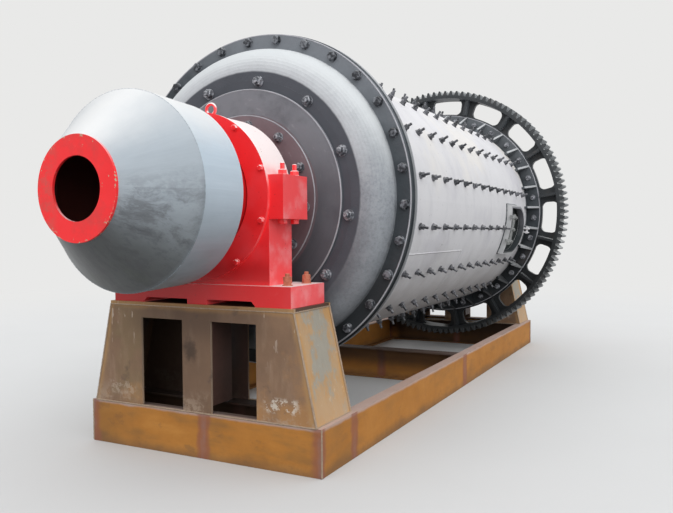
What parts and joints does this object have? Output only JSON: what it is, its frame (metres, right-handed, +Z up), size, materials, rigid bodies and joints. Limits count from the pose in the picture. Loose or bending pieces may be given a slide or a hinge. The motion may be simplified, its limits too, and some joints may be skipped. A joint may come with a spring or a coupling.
{
  "type": "ball mill",
  "caption": "Horizontal grinding drum with a ring gear, turning in two split bearings on plate pedestals and a channel frame, with a conical feeder at one end.",
  "frame": {"origin": "middle of the frame on the ground", "axes": "+Y along the drum's axis from the feed end to the discharge end, +X across the mill to the right seen from the feed end, +Z up"},
  "size_m": [2.86, 6.85, 3.038],
  "materials": {
    "rusty_beam": "mill scale with ochre rust",
    "mill_scale_plate": "brown mill scale",
    "flank_plate": "blue-grey mill scale with tan rust",
    "red_paint": "gloss enamel",
    "bearing_metal": "machined",
    "shell_paint": "light grey primer",
    "head_paint": "grey primer",
    "bare_casting": "dark machined casting",
    "black_paint": "black paint, dull",
    "feeder_paint": "blue-grey primer"
  },
  "bodies": {
    "stand": {"front_beam": "rusty_beam", "rear_beam": "rusty_beam", "left_rail": "rusty_beam", "right_rail": "rusty_beam", "cross_beams": "rusty_beam", "feed_pedestal_outer_wall": "mill_scale_plate", "feed_pedestal_inner_wall": "mill_scale_plate", "feed_pedestal_flanks": "flank_plate", "feed_pedestal_webs": "mill_scale_plate", "feed_pedestal_top": "mill_scale_plate", "feed_bearing_foot": "red_paint", "feed_bearing_body": "red_paint", "feed_bearing_cap": "red_paint", "feed_bearing_liner": "bearing_metal", "feed_bearing_cover": "red_paint", "feed_bearing_seal": "red_paint", "feed_lifting_eye": "red_paint", "discharge_pedestal_outer_wall": "mill_scale_plate", "discharge_pedestal_inner_wall": "mill_scale_plate", "discharge_pedestal_flanks": "flank_plate", "discharge_pedestal_webs": "mill_scale_plate", "discharge_pedestal_top": "mill_scale_plate", "discharge_bearing_foot": "red_paint", "discharge_bearing_body": "red_paint", "discharge_bearing_cap": "red_paint", "discharge_bearing_liner": "bearing_metal", "discharge_bearing_cover": "red_paint", "discharge_bearing_seal": "red_paint", "discharge_lifting_eye": "red_paint"},
    "drum": {"shell": "shell_paint", "feed_shell_flange": "black_paint", "discharge_shell_flange": "black_paint", "gussets": "black_paint", "feed_head": "head_paint", "feed_head_plate": "bare_casting", "feed_trunnion_flange": "bare_casting", "feed_trunnion": "bare_casting", "feed_end_flange": "bare_casting", "discharge_head": "head_paint", "discharge_head_plate": "bare_casting", "discharge_trunnion_flange": "bare_casting", "discharge_trunnion": "bare_casting", "discharge_end_flange": "bare_casting", "ring_gear": "black_paint", "gear_hub": "black_paint", "gear_spokes": "black_paint", "manhole_frame": "shell_paint", "manhole_cover": "black_paint", "feeder_mouth_ring": "red_paint", "feeder_cone": "feeder_paint", "feeder_barrel": "feeder_paint", "feeder_back_plate": "feeder_paint", "discharge_spout": "feeder_paint"}
  },
  "joints": [
    {"name": "drum_spin", "type": "hinge", "parent": "stand", "child": "drum", "pos_m": [0, 0, 1.608], "axis": [0, 1, 0], "continuous": true}
  ]
}
